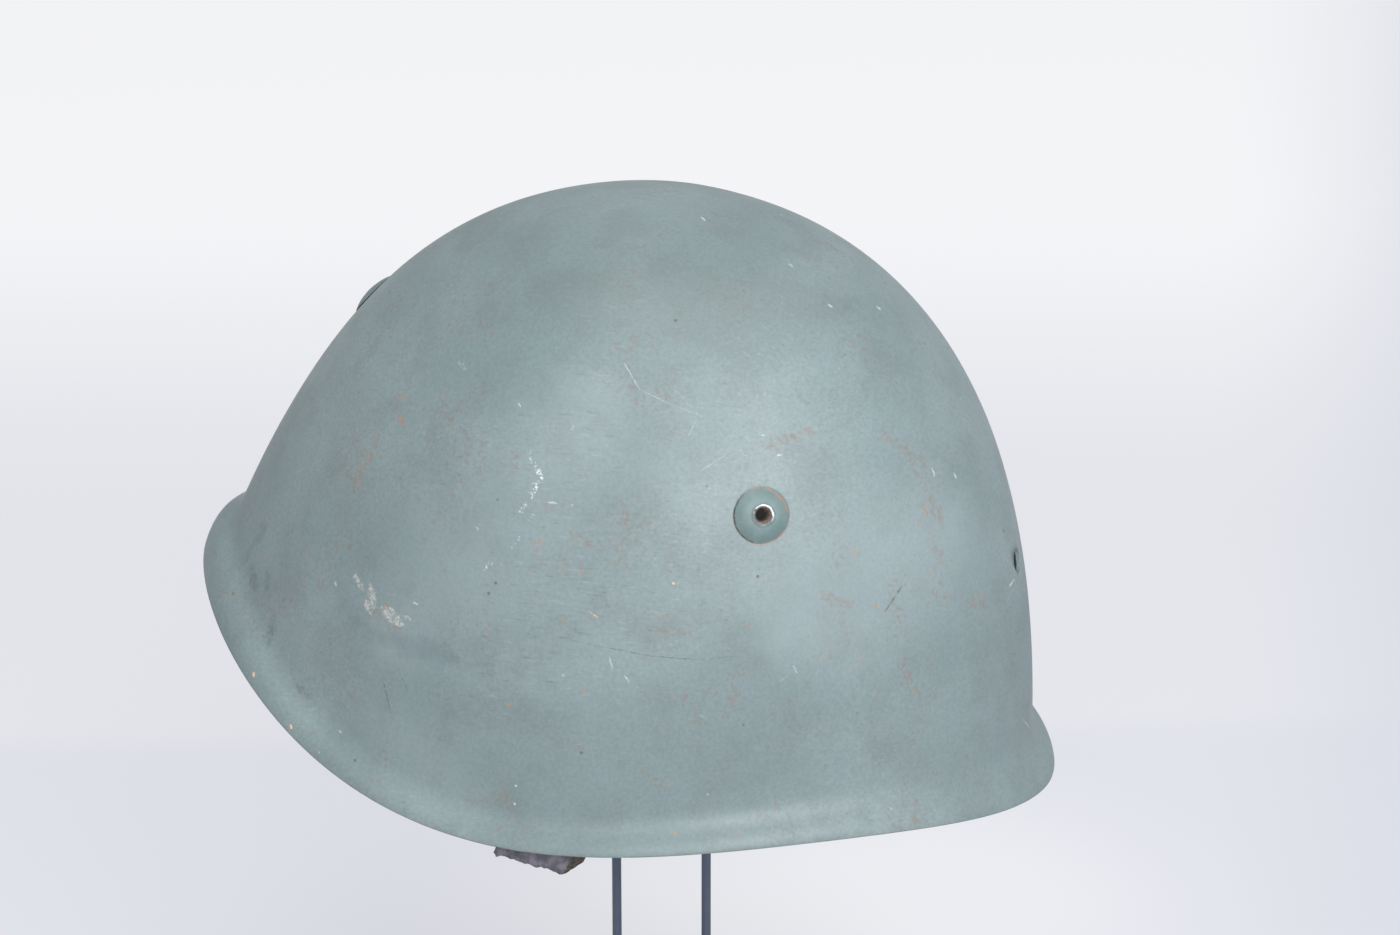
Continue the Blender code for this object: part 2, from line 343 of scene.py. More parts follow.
# A smooth step clamps by itself, and the extra clamp would cost a node each time
SMOOTH = {"interpolation_type": "SMOOTHSTEP", "clamp": False}
COLOUR = {"data_type": "RGBA"}


def dress(shader, node, base, layers, **inputs):
    """Lay each tint over the base by its mask, set the shader's inputs and give the colour."""
    for mask, tint in layers:
        base = node("Mix", {0: mask, 6: base, 7: tint}, 2, **COLOUR)
    set_inputs(shader, {"Base Color": base, **inputs})
    return base


# Wear on the paint, with painted shade, shadow and sheen, charted: each mark runs from one photo
# pixel to another, all in pixels

Mark = namedtuple("Mark", "x y to_x to_y width")


def chart(*rows):
    """Marks from rows of x, y, to_x, to_y and width."""
    return [Mark(*row) for row in rows]


PALE_SCRATCHES = chart(
    (624, 363, 640, 390, 2), (640, 390, 672, 405, 1.6), (672, 405, 707, 418, 1.4),
    (662, 377, 702, 418, 1.2), (697, 418, 687, 439, 1.6), (728, 453, 696, 474, 1.6),
    (793, 666, 797, 673, 2.2), (779, 682, 788, 676, 1.4), (609, 657, 613, 669, 2.2),
    (625, 676, 629, 682, 2.4), (700, 715, 707, 719, 1.6), (1021, 717, 1030, 728, 2),
    (1010, 586, 1013.5, 580, 2.6),
)
WHITE_SCUFFS = chart(
    (529, 450, 531, 462, 5), (536, 464, 542, 480, 8), (538, 482, 532, 496, 8),
    (526, 486, 530, 494, 4), (526, 504, 520, 512, 6), (536, 512, 530, 520, 4),
    (519, 536, 510, 552, 4), (494, 558, 485, 568, 6), (503, 562, 501, 568, 4),
    (574, 426, 569, 436, 4), (460, 362, 463, 368, 5), (496, 418, 500, 422, 4),
    (480, 525, 476, 530, 5), (934, 470, 935, 478, 4),
)
WHITE_SPECKS = chart(
    (519, 404, 520, 406, 2.4), (549, 502, 556, 503, 2.6), (762, 435, 764, 435, 2.2),
    (778, 455, 781, 455, 2.4), (829, 305, 832, 307, 2.2), (877, 307, 880, 309, 2.2),
    (789, 264, 792, 266, 2), (932, 468, 934, 474, 2.2), (954, 474, 956, 478, 2.2),
    (702, 218, 705, 220, 2.4), (335, 582, 336, 586, 2), (414, 603, 417, 604, 2.4),
)
PEACH_SPECKS = chart(
    (290.6, 725, 291.4, 728, 3), (339.4, 731, 340.6, 732, 2.4), (253.6, 673, 254, 676, 3),
    (318.6, 752, 319.6, 753, 2.2), (673, 583.4, 674, 584, 3), (589, 611.6, 592, 613.4, 1.8),
    (593.6, 614.6, 597.4, 617, 2.2),
)
CHIPPED_PATCH = chart(
    (356, 577, 361, 588, 8), (371, 588, 374, 604, 11), (366, 602, 370, 612, 8),
    (388, 594, 394, 595, 4), (386, 611, 397, 621, 14), (404, 616, 410, 620, 6),
)
# Painted sheen: pale patches where the lamps' broad highlight and the white room's reflection fall
PAINTED_SHEEN = chart(
    (430, 600, 560, 440, 200), (836, 600, 900, 560, 230), (400, 740, 450, 790, 120),
    (500, 205, 740, 198, 90), (900, 300, 965, 400, 90), (288, 400, 280, 450, 60),
)
RIVET_RUST = chart(
    (743, 495, 748, 490, 2.6), (748, 489, 758, 487, 3.4), (766, 488, 776, 493, 3.2),
    (776, 494, 783, 500, 3.6), (784, 502, 788, 512, 2.8), (788, 514, 787, 526, 2.6),
    (786, 529, 778, 538, 3.2), (777, 539, 765, 544, 3), (764, 545, 750, 544, 3),
)
# Painted shadow, with some dirt, in the gap under the near rivet head's edge
RIVET_SHADE = chart(
    (744, 494, 739, 500, 2), (739, 500, 735, 508, 2.4), (735, 508, 733.4, 516, 3),
    (733.4, 515, 735, 525, 3), (735.6, 527, 740, 534, 2.8), (740, 534, 747, 540, 2.8),
    (747, 540, 754, 543, 2.6), (754, 543.4, 763, 543.6, 1.8),
)
BARE_LIP = chart(
    (757, 508, 763, 505, 3.2), (763, 505.4, 770, 507.6, 4), (770, 508, 774, 516, 3.6),
    (774, 516, 772, 523, 2.2), (754, 512, 754.6, 514, 1.6), (760, 526, 768, 526, 1.4),
)
# Painted shade along the dent, on top of the dent pressed into the sheet
DENT_SHADE = chart(
    (392, 640, 452, 656, 34), (440, 655, 492, 668, 18), (352, 620, 392, 646, 22),
)
DARK_SMUDGES = chart(
    (266, 526, 252, 548, 10), (252, 546, 244, 562, 9), (252, 568, 254, 588, 12),
    (267, 574, 267, 594, 11), (274, 618, 268, 644, 12), (298, 686, 306, 696, 12),
    (547, 680, 554, 687, 9), (619, 728, 625, 732, 4.5), (616, 767, 632, 760, 4),
    (655, 779, 667, 777, 4), (596, 353, 600, 357, 4), (550, 302, 554, 305, 4),
    (618, 314, 626, 315, 4), (860, 348, 888, 356, 4), (912, 352, 920, 360, 4),
    (552, 683, 560, 681, 4), (320, 672, 322, 676, 5), (333, 565, 335, 568, 5),
)
DARK_SCRATCHES = chart(
    (555, 636, 600, 647, 1.5), (598, 646, 650, 656, 1.8), (648, 656, 700, 660, 1.8),
    (698, 660, 738, 656, 1.4), (382, 677, 391, 713, 1.8), (396, 666, 408, 690, 1.4),
    (884, 613, 902, 586, 2.6), (600, 596, 622, 622, 1.2), (820, 370, 850, 352, 1.2),
)
RUST_BLOOM = chart(
    (399, 396, 402, 424, 9), (444, 356, 412, 376, 7), (444, 392, 424, 446, 10),
    (380, 428, 355, 486, 11), (352, 488, 338, 522, 9), (410, 470, 398, 484, 9),
    (398, 484, 404, 492, 7), (461, 510, 466, 522, 7), (471, 452, 462, 470, 8),
    (426, 482, 434, 476, 4), (426, 512, 408, 530, 5), (532, 542, 542, 568, 10),
    (534, 500, 556, 510, 8), (528, 540, 544, 566, 9), (560, 568, 576, 575, 6),
    (582, 610, 598, 615, 5), (640, 610, 668, 617, 10), (662, 566, 672, 574, 7),
    (650, 629, 690, 634, 12), (674, 616, 692, 622, 8), (770, 446, 810, 432, 16),
    (778, 414, 796, 424, 7), (735, 468, 752, 468, 6), (884, 432, 930, 470, 14),
    (912, 462, 940, 520, 16), (925, 512, 942, 572, 12), (848, 546, 862, 552, 10),
    (826, 596, 850, 606, 16), (838, 606, 846, 640, 9), (968, 600, 982, 606, 12),
    (872, 682, 882, 692, 9), (946, 666, 962, 692, 6), (1010, 738, 1022, 746, 7),
    (512, 730, 528, 736, 10), (298, 688, 304, 698, 8), (328, 722, 340, 728, 8),
    (418, 768, 436, 780, 9), (484, 800, 500, 806, 9), (528, 816, 546, 822, 8),
    (638, 770, 672, 790, 12), (560, 738, 600, 756, 9), (484, 596, 500, 604, 8),
    (700, 800, 730, 806, 8), (749, 483, 761, 484, 4), (794, 512, 796, 530, 6),
    (738, 467, 747, 470, 7), (790, 646, 794, 659, 6), (616, 631, 621, 640, 8),
    (826, 598, 834, 611, 6), (573, 534, 590, 545, 14), (615, 532, 622, 538, 6),
    (370, 610, 396, 630, 14),
)
ORANGE_SPECKS = chart(
    (656, 618, 672, 617, 4), (672, 225, 675, 228, 3), (774, 322, 778, 324, 3.6),
    (779, 345, 783, 348, 3.2), (736, 832, 742, 834, 4.6), (516, 832, 519, 834, 3.4),
    (584, 612, 598, 617, 4), (543, 506, 548, 509, 4), (399, 416, 402, 424, 6),
    (397, 399, 405, 398, 5), (378, 428, 376, 438, 5), (371, 455, 356, 475, 5),
    (356, 476, 358, 486, 5), (446, 390, 440, 398, 4), (434, 415, 446, 411, 2.6),
    (540, 538, 536, 546, 5), (536, 554, 546, 552, 4), (560, 566, 566, 574, 4),
    (442, 600, 446, 604, 3), (914, 430, 912, 434, 3), (924, 500, 926, 516, 5),
    (884, 435, 886, 442, 4), (850, 550, 856, 556, 5), (892, 588, 898, 594, 0.9),
    (884, 612, 888, 606, 4), (980, 592, 984, 598, 4), (974, 600, 978, 610, 4),
    (776.6, 555, 778, 558, 2.6), (784, 571, 786, 574, 2.6), (793, 583, 796, 590, 3),
    (805, 606, 808, 610, 2.6), (815, 619, 820, 628, 3.6), (821, 636, 823, 640, 2.6),
    (827, 650, 829, 658, 3.6), (767, 645, 776, 656, 3), (363, 615, 382, 622, 3.6),
    (384, 624, 396, 628, 3.6),
)
# Painted shade: darker patches where less light falls on the shell
PAINTED_SHADE = chart(
    (580, 300, 800, 304, 130), (350, 400, 344, 490, 80), (288, 590, 294, 660, 70),
    (900, 760, 966, 800, 90), (500, 310, 560, 320, 60),
)

# The dent's line, and how far round it the sheet gives way
DENT = Mark(392, 642, 478, 660, 26.0)


class Camera:
    """The photograph's view of the shell."""

    def __init__(self, stage):
        self.spot = Vector(stage.camera_place)
        self.forward = (Vector(stage.camera_target) - self.spot).normalized()
        self.right = self.forward.cross(Vector((0, 0, 1))).normalized()
        self.up = self.right.cross(self.forward)
        self.pixels = stage.lens * PHOTO_WIDTH / SENSOR_WIDTH

    def on_shell(self, tree, x, y):
        """The nearest place and normal of the shell under a photo pixel."""
        ray = (self.forward * self.pixels + self.right * (x - PHOTO_WIDTH / 2)
               + self.up * (PHOTO_HEIGHT / 2 - y)).normalized()
        place, normal, _, _ = tree.ray_cast(self.spot, ray)
        if place is None:
            raise RuntimeError(f"no shell under photo pixel {x}, {y}")
        return place, normal

    def photo_place(self, node, place):
        """Object coordinates turned into the chart's pixels, as the photograph shows them."""
        away = node("VectorMath", (place, self.spot), operation="SUBTRACT")
        depth = node("VectorMath", (away, self.forward), "Value", operation="DOT_PRODUCT")
        x = node("VectorMath", (away, self.right * self.pixels), "Value", operation="DOT_PRODUCT")
        y = node("VectorMath", (away, self.up * -self.pixels), "Value", operation="DOT_PRODUCT")
        x = node("Math", (x, depth), operation="DIVIDE")
        y = node("Math", (y, depth), operation="DIVIDE")
        pixels = node("CombineXYZ", (x, y, 0.0))
        return node("VectorMath", (pixels, (PHOTO_WIDTH / 2, PHOTO_HEIGHT / 2, 0)),
                    operation="ADD")

    def near_side(self, node):
        """1 on the side that the photograph shows, 0 on the far side."""
        normal = node("NewGeometry", output="True Normal")
        facing = node("VectorMath", (normal, -self.forward), "Value", operation="DOT_PRODUCT")
        return node("MapRange", (facing, 0.02, 0.12, 0.0, 1.0), **SMOOTH)


def mark_mask(node, photo, near, marks, edge):
    """1 inside the charted marks, falling to 0 over edge pixels. Each is an ellipse.

    The distances to an ellipse's two foci sum to its length on its border. Sideways that sum
    grows by twice the width over the length.
    """
    result = None
    for mark in marks:
        start, end = Vector((mark.x, mark.y, 0)), Vector((mark.to_x, mark.to_y, 0))
        long, short = (end - start).length + mark.width, mark.width
        reach = (end - start).normalized() * math.sqrt(long ** 2 - short ** 2) / 2
        middle = (start + end) / 2
        slope = long / (2 * short * edge)
        first = node("VectorMath", (photo, middle - reach), "Value", operation="DISTANCE")
        inside = node("Math", (first, -slope, slope * long), operation="MULTIPLY_ADD")
        second = node("VectorMath", (photo, middle + reach), "Value", operation="DISTANCE")
        inside = node("Math", (second, -slope, inside), operation="MULTIPLY_ADD")
        result = inside if result is None else node("Math", (result, inside), operation="MAXIMUM")
    result = node("MapRange", (result, 0.0, 1.0, 0.0, 1.0), **SMOOTH)
    return node("Math", (result, near), operation="MULTIPLY")


def shaken(node, place, moved, size_mm, amount):
    """Coordinates pushed about by noise, so that a smooth mask gets a ragged edge."""
    push = node("TexNoise", blobs(place, size_mm, 3.0, 0.6), "Color")
    centred = node("VectorMath", (push, (0.5, 0.5, 0.5)), operation="SUBTRACT")
    return node("VectorMath", (centred, (2 * amount,) * 3, moved), operation="MULTIPLY_ADD")


# Materials

def field_paint(paint, camera):
    """Matt alkyd field paint sprayed on pressed steel, decades old.

    It gives the eye a dull grey-green with a soft broad sheen, brown blooms where rust works
    through, pale scratches that bruise the paint and a few chips down to the metal. Painted shade,
    painted sheen and a painted shadow round the near rivet head are laid into its colour as well.
    """
    material, shader, node, place = new_material("field_paint_on_steel")
    broad = node("TexNoise", blobs(place, 70, 2.0))
    cloud = node("TexNoise", blobs(place, 18, 4.0, 0.6))
    grain = node("TexNoise", blobs(place, 1.1, 2.0, 0.6))
    layers = [(node("MapRange", (pattern, *span), **SMOOTH), tint) for pattern, span, tint in (
        (broad, (0.35, 0.65, 0.0, 1.0), paint.faded_colour),
        (cloud, (0.42, 0.72, 0.0, 0.28), paint.grime_and_shade_colour),
        (grain, (0.30, 0.70, 0.0, 0.14), paint.chip_colour))]

    photo, near_side = camera.photo_place(node, place), camera.near_side(node)
    soft, ragged, rough, fine = (shaken(node, place, photo, size, amount) for size, amount in (
        (7, 14.0), (4, 10.0), (2.5, 5.0), (1.6, 1.4)))
    specks = node("TexNoise", blobs(shaken(node, place, place, 2.5, 1.2 * MM), 2.2, 5.0, 0.72))
    crumbs = node("TexNoise", blobs(place, 0.7, 2.0, 0.6))

    def broken(marks, where, edge, pattern, *span):
        """Charted marks that a pattern breaks up: its low and high, then the least and most."""
        mask = mark_mask(node, where, near_side, marks, edge)
        let_through = node("MapRange", (pattern, *span), **SMOOTH)
        return node("Math", (mask, let_through), operation="MULTIPLY")

    # Painted shade on darker patches, painted shade along the dent, and painted sheen where the
    # lamps' broad highlight falls
    for marks, edge, strength, tint in ((PAINTED_SHADE, 60.0, 0.50, paint.grime_and_shade_colour),
                                        (DENT_SHADE, 14.0, 0.42, paint.dent_shade_colour),
                                        (PAINTED_SHEEN, 95.0, 0.28, paint.wipe_and_sheen_colour)):
        mask = mark_mask(node, soft, near_side, marks, edge)
        layers.append((node("Math", (mask, strength), operation="MULTIPLY"), tint))

    # Rust that works through: brown specks inside soft clouds, at the charted places and
    # round the rivet heads
    clouds = node("TexNoise", blobs(place, 22, 3.0, 0.55))
    clouds = node("MapRange", (clouds, 0.47, 0.70, 0.0, 0.50), **SMOOTH)
    sparse = node("MapRange", (specks, 0.50, 0.66, 0.0, 1.0), **SMOOTH)
    bloom = node("Math", (clouds, sparse), operation="MULTIPLY")
    charted = broken(RUST_BLOOM, ragged, 5.0, specks, 0.42, 0.60, 0.06, 0.52)
    bloom = node("Math", (bloom, charted), operation="MAXIMUM")
    orange = mark_mask(node, rough, near_side, ORANGE_SPECKS, 2.0)
    orange = node("Math", (orange, 0.75), operation="MULTIPLY")
    creeping = mark_mask(node, fine, near_side, RIVET_RUST, 1.4)
    for vent in VENTS:
        if not vent.holds_strap:
            centre = vent_frame(vent).translation
            reach = node("VectorMath", (place, centre), "Value", operation="DISTANCE")
            ring = node("MapRange", (reach, *SHEET_RUST, 1.0, 0.0), **SMOOTH)
            creeping = node("Math", (creeping, ring), operation="MAXIMUM")
    orange = node("Math", (orange, creeping), operation="MAXIMUM")
    fresh = node("MapRange", (specks, 0.38, 0.56, 0.20, 0.80), **SMOOTH)
    orange = node("Math", (orange, fresh), operation="MULTIPLY")
    # Painted shadow, with some dirt, in the gap round the near rivet head
    gap = mark_mask(node, photo, near_side, RIVET_SHADE, 0.9)
    layers += [(bloom, paint.rust_colour), (orange, paint.fresh_rust_colour),
               (gap, paint.shadow_colour)]

    # Chips, pale specks and rust dots scattered over the whole shell, one in a square of 7 mm
    cells = node("TexVoronoi", {"Vector": place, "Scale": 1 / (7 * MM)})
    lots = node("SeparateColor", (cells.node.outputs["Color"],)).node.outputs
    near = node("MapRange", (cells, 0.045, 0.095, 1.0, 0.0), **SMOOTH)
    drawn = [node("MapRange", (lot, *span), **SMOOTH) for lot, span in zip(lots, (
        (0.90, 0.94, 0.0, 0.70), (0.93, 0.96, 0.0, 0.80), (0.50, 0.95, 0.0, 0.75)))]
    dark, pale, dots = (node("Math", (near, lot), operation="MULTIPLY") for lot in drawn)
    layers.append((dots, paint.fresh_rust_colour))

    # Hairlines that wiping leaves, 0.7 mm high and ten times as long so that they can be seen
    wiped = node("VectorMath", (place, (1.0, 0.1, 1.0)), operation="MULTIPLY")
    lines = node("TexNoise", blobs(wiped, 0.7, 3.0, 0.6))
    worn = node("MapRange", (broad, 0.40, 0.60, 0.06, 0.20), **SMOOTH)
    for low, high, tint in ((0.58, 0.70, paint.chip_colour), (0.40, 0.30, paint.wipe_and_sheen_colour)):
        line = node("MapRange", (lines, low, high, 0.0, 1.0), **SMOOTH)
        layers.append((node("Math", (line, worn), operation="MULTIPLY"), tint))

    # Charted dark and pale marks
    for mask in (broken(DARK_SMUDGES, rough, 5.0, specks, 0.34, 0.58, 0.14, 0.55),
                 broken(DARK_SCRATCHES, fine, 0.6, specks, 0.38, 0.56, 0.10, 0.75)):
        dark = node("Math", (dark, mask), operation="MAXIMUM")
    for mask in (broken(PALE_SCRATCHES, fine, 0.8, specks, 0.36, 0.60, 0.25, 0.90),
                 broken(WHITE_SPECKS, fine, 0.8, specks, 0.30, 0.50, 0.50, 0.95)):
        pale = node("Math", (pale, mask), operation="MAXIMUM")
    dark = node("Math", (dark, 0.8), operation="MULTIPLY")
    coarse = node("Math", (crumbs, specks), operation="ADD")
    layers += [
        (dark, paint.chip_colour), (pale, paint.scratch_colour),
        (broken(WHITE_SCUFFS, rough, 2.4, crumbs, 0.49, 0.62, 0.0, 0.74), paint.scuff_colour),
        (broken(CHIPPED_PATCH, rough, 2.4, coarse, 0.90, 1.14, 0.06, 0.70), paint.primer_colour),
        (mark_mask(node, fine, near_side, PEACH_SPECKS, 1.0), paint.peach_colour),
    ]

    # Rust and bare marks are duller than the paint film
    rubbed = node("TexNoise", blobs(place, 30, 3.0))
    film = node("MapRange", (rubbed, 0.35, 0.65, paint.roughness - 0.04,
                             paint.roughness + 0.05), **SMOOTH)
    dull = node("Math", (bloom, pale), operation="MAXIMUM")
    dull = node("Math", (dull, 0.25, film), operation="MULTIPLY_ADD")

    # Orange peel about 2 mm across, with spray grain about half a millimetre
    peel = node("TexNoise", blobs(place, 2.2, 2.0))
    spray = node("TexNoise", blobs(place, 0.6, 1.0))
    height = node("Math", (spray, 0.4, peel), operation="MULTIPLY_ADD")
    bump = node("Bump", {"Height": height, "Strength": 0.25, "Distance": 0.06 * MM})
    dress(shader, node, paint.colour, layers, Roughness=dull, IOR=1.5, Normal=bump)
    return material


def inner_paint(paint):
    """The same paint inside the shell, darkened by sweat, dust and rust."""
    material, shader, node, place = new_material("field_paint_inside")
    cloud = node("TexNoise", blobs(place, 30, 4.0, 0.6))
    specks = node("TexNoise", blobs(place, 2.5, 5.0, 0.7))
    soiled = node("MapRange", (cloud, 0.35, 0.70, 0.0, 1.0), **SMOOTH)
    clouds = node("MapRange", (cloud, 0.48, 0.72, 0.0, 0.45), **SMOOTH)
    sparse = node("MapRange", (specks, 0.50, 0.66, 0.0, 1.0), **SMOOTH)
    rust = node("Math", (clouds, sparse), operation="MULTIPLY")
    bump = node("Bump", {"Height": specks, "Strength": 0.3, "Distance": 0.1 * MM})
    dress(shader, node, paint.inside_colour, (
        (soiled, paint.sweat_colour), (rust, paint.rust_colour)), Roughness=0.6, Normal=bump)
    return material


def sheared_edge(paint):
    """The sheet's sheared edge: painted once, rubbed back to dull steel, browned by rust."""
    material, shader, node, place = new_material("sheared_steel_edge")
    worn = node("TexNoise", blobs(place, 7, 4.0, 0.6))
    worn = node("MapRange", (worn, 0.40, 0.60, 0.0, 1.0), **SMOOTH)
    rusty = node("TexNoise", blobs(place, 13, 3.0, 0.6))
    rusty = node("MapRange", (rusty, 0.50, 0.68, 0.0, 0.85), **SMOOTH)
    dress(shader, node, paint.colour, (
        (worn, paint.edge_colour), (rusty, paint.rust_colour)), Roughness=0.55)
    return material


def rivet_paint(paint, camera):
    """The same paint on a stamped rivet head: greener, with a little rust along its rim and a
    painted shadow at the gap under its edge.
    """
    material, shader, node, place = new_material("field_paint_on_rivet")
    cloud = node("TexNoise", blobs(place, 6, 4.0, 0.6))
    specks = node("TexNoise", blobs(place, 1.2, 5.0, 0.7))
    soiled = node("MapRange", (cloud, 0.40, 0.66, 0.0, 0.5), **SMOOTH)
    rim = None
    for vent in VENTS:
        centre = vent_frame(vent).translation
        reach = node("VectorMath", (place, centre), "Value", operation="DISTANCE")
        here = node("MapRange", (reach, *HEAD_RUST, 0.0, 1.0))
        near = node("Math", (reach, HEAD_REACH), operation="LESS_THAN")
        here = node("Math", (here, near), operation="MULTIPLY")
        rim = here if rim is None else node("Math", (rim, here), operation="MAXIMUM")
    rust = node("MapRange", (specks, 0.50, 0.64, 0.0, 0.6), **SMOOTH)
    rust = node("Math", (rim, rust), operation="MULTIPLY")
    spots = node("MapRange", (specks, 0.62, 0.70, 0.0, 0.4), **SMOOTH)
    photo, near_side = camera.photo_place(node, place), camera.near_side(node)
    fresh = mark_mask(node, photo, near_side, RIVET_RUST, 1.0)
    broken = node("MapRange", (specks, 0.40, 0.58, 0.15, 0.75), **SMOOTH)
    fresh = node("Math", (fresh, broken), operation="MULTIPLY")
    # Painted shadow, with some dirt, at the gap under the head's edge
    gap = mark_mask(node, photo, near_side, RIVET_SHADE, 1.0)
    bump = node("Bump", {"Height": specks, "Strength": 0.25, "Distance": 0.06 * MM})
    dress(shader, node, paint.head_colour, (
        (soiled, paint.colour), (rust, paint.rust_colour), (spots, paint.chip_colour),
        (fresh, paint.fresh_rust_colour), (gap, paint.shadow_colour)),
        Roughness=paint.roughness, Normal=bump)
    return material


def bare_lip(rivets, camera):
    """The rivet's rolled lip: drawn steel under thin paint, rubbed bright on its upper side."""
    material, shader, node, place = new_material("bare_steel_lip")
    specks = node("TexNoise", blobs(place, 0.9, 4.0, 0.7))
    tarnish = node("MapRange", (specks, 0.50, 0.66, 0.0, 0.5), **SMOOTH)
    photo, near_side = camera.photo_place(node, place), camera.near_side(node)
    bright = mark_mask(node, photo, near_side, BARE_LIP, 1.0)
    metal = node("Math", (bright, 0.7), operation="MULTIPLY")
    dress(shader, node, rivets.dull_lip_colour, (
        (tarnish, rivets.tarnish_colour), (bright, rivets.lip_colour)),
        Metallic=metal, Roughness=0.42)
    return material


def rusty_tube(rivets):
    """The unpainted inside of the vent tube: dull steel with a thin coat of brown rust."""
    material, shader, node, place = new_material("rusty_vent_tube")
    specks = node("TexNoise", blobs(place, 0.7, 5.0, 0.7))
    light = node("MapRange", (specks, 0.35, 0.65, 0.0, 1.0), **SMOOTH)
    bump = node("Bump", {"Height": specks, "Strength": 0.5, "Distance": 0.1 * MM})
    dress(shader, node, rivets.tarnish_colour, ((light, rivets.tube_colour),),
          Roughness=0.85, Normal=bump)
    return material


def old_leather(strap):
    """Vegetable-tanned strap leather, dried out and dusty.

    Its grain side looks grey and flat with pinkish chips, its flesh side and its torn ends dark
    brown and fibrous. The map's U runs across the strap, past 1 on the torn layer, and V along it.
    """
    material, shader, node, place = new_material("dry_strap_leather")
    across = node("SeparateXYZ", (node("UVMap", uv_map="strap"),))
    pores = node("TexVoronoi", {"Vector": place, "Scale": 1 / (0.9 * MM)})
    cloud = node("TexNoise", blobs(place, 4, 4.0, 0.6))
    fibres = node("TexNoise", blobs(place, 1.1, 6.0, 0.75))
    dusty = node("MapRange", (cloud, 0.38, 0.62, 0.0, 1.0), **SMOOTH)
    chips = node("MapRange", (fibres, 0.60, 0.68, 0.0, 0.7), **SMOOTH)
    hairy = node("MapRange", (fibres, 0.35, 0.65, 0.0, 1.0), **SMOOTH)
    flesh = node("Mix", {0: hairy, 6: strap.flesh_colour, 7: strap.torn_colour}, 2, **COLOUR)
    torn = node("MapRange", (across, 0.98, 1.04, 0.0, 1.0))
    height = node("Math", (pores, 0.5, fibres), operation="MULTIPLY_ADD")
    bump = node("Bump", {"Height": height, "Strength": 0.5, "Distance": 0.2 * MM})
    dress(shader, node, strap.grain_colour, (
        (dusty, strap.dust_colour), (chips, strap.chip_colour), (torn, flesh)),
        Roughness=0.75, Normal=bump)
    return material


def torn_leather(strap):
    """The flesh side and the torn and cut edges of the strap: dark brown loose fibres."""
    material, shader, node, place = new_material("torn_strap_leather")
    fibres = node("TexNoise", blobs(place, 1.1, 6.0, 0.75))
    hairy = node("MapRange", (fibres, 0.35, 0.65, 0.0, 1.0), **SMOOTH)
    bump = node("Bump", {"Height": fibres, "Strength": 0.7, "Distance": 0.3 * MM})
    dress(shader, node, strap.flesh_colour, ((hairy, strap.torn_colour),),
          Roughness=0.9, Normal=bump)
    return material


def stand_enamel(stand):
    """Dipped enamel on bent steel wire: an even satin dark blue-grey with small rubs."""
    material, shader, node, place = new_material("dark_stand_enamel")
    cloud = node("TexNoise", blobs(place, 25, 3.0))
    tone = node("MapRange", (cloud, 0.35, 0.65, 0.0, 1.0), **SMOOTH)
    rub = node("MapRange", (cloud, 0.3, 0.7, 0.44, 0.50), **SMOOTH)
    ripple = node("TexNoise", blobs(place, 3, 2.0))
    bump = node("Bump", {"Height": ripple, "Strength": 0.15, "Distance": 0.05 * MM})
    dress(shader, node, stand.colour, ((tone, stand.rubbed_colour),),
          Roughness=rub, Normal=bump)
    return material


def pale_floor(stage):
    """White studio board that glows with painted light, though no lamp is under it, so that
    shadows on it stay faint.

    It is a pale blue-grey up to the table's end, brightens with painted light towards the back,
    dims to the right and has a painted pool of light beside the foot. Its zones are measured in
    metres along the camera's view.
    """
    material, shader, node, place = new_material("studio_board_painted_glow")
    ahead = Vector(stage.camera_target) - Vector(stage.camera_place)
    ahead.z = 0
    ahead.normalize()
    across = ahead.cross(Vector((0, 0, 1)))
    along = node("VectorMath", (place, ahead), "Value", operation="DOT_PRODUCT")
    beside = node("VectorMath", (place, across), "Value", operation="DOT_PRODUCT")
    behind = node("Math", (beside, -0.05, along), operation="MULTIPLY_ADD")
    away = node("Math", (along, -ahead.dot(Vector(stage.camera_place))), operation="ADD")
    right = node("Math", (beside, away), operation="DIVIDE")
    lit = node("VectorMath", (place, Vector(stage.painted_pool_place)), "Value", operation="DISTANCE")
    # Zones: the board behind the table's end, painted light towards the back, a dimmer right side
    # and a painted pool of light beside the foot
    zones = [(node("MapRange", (measure, *span), **SMOOTH), tint) for measure, span, tint in (
        (behind, (0.26, 0.30, 0.0, 1.0), stage.wall_colour),
        (along, (0.50, 1.10, 0.0, 1.0), stage.painted_light_colour),
        (right, (0.13, 0.23, 0.0, 1.0), stage.side_colour),
        (lit, (0.02, 0.17, 0.6, 0.0), stage.painted_light_colour))]
    base = dress(shader, node, stage.floor_colour, zones, Roughness=0.9)
    # The board glows with its own colours: painted light, as no lamp is under it
    glow = node("Emission", {"Color": base, "Strength": stage.painted_floor_glow}, "Emission")
    mixed = node("MixShader", {0: 0.8, 1: shader.outputs[0], 2: glow}, "Shader")
    surface = next(n for n in shader.id_data.nodes if n.type == "OUTPUT_MATERIAL")
    set_inputs(surface, {"Surface": mixed})
    return material


# Shell

